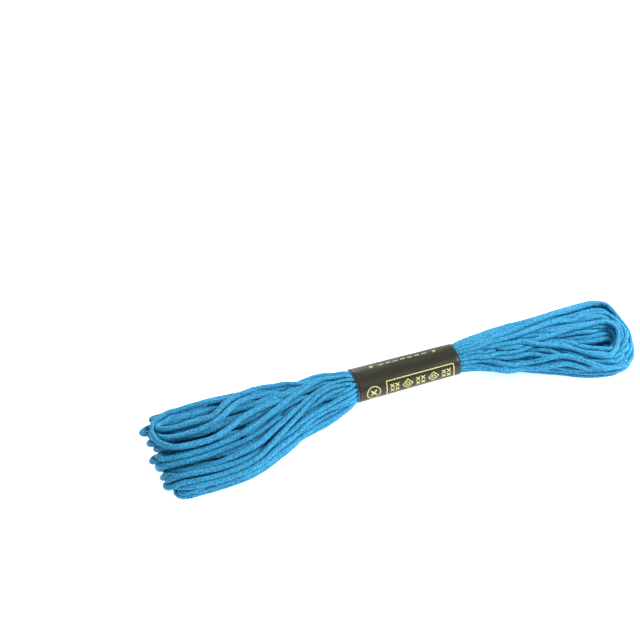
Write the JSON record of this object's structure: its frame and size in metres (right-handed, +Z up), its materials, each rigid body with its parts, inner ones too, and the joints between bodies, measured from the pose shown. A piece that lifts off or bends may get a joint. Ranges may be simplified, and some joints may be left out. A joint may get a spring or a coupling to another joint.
{
  "type": "skein of embroidery floss",
  "caption": "Wound ring of six-strand cotton embroidery floss, drawn together at the middle by a paper label band, lying flat.",
  "frame": {"origin": "centre of the skein's bounding box, on the surface that it lies on", "axes": "+X along the skein, from its broader end with the flattened eye to the end whose eye opens upwards; +Z up; the front is at -Y"},
  "size_m": [0.1444, 0.0302, 0.0109],
  "materials": {
    "floss": "satin",
    "band_paper": "satin"
  },
  "bodies": {
    "root": {"floss_hank": "floss", "label_band": "band_paper"}
  },
  "joints": []
}
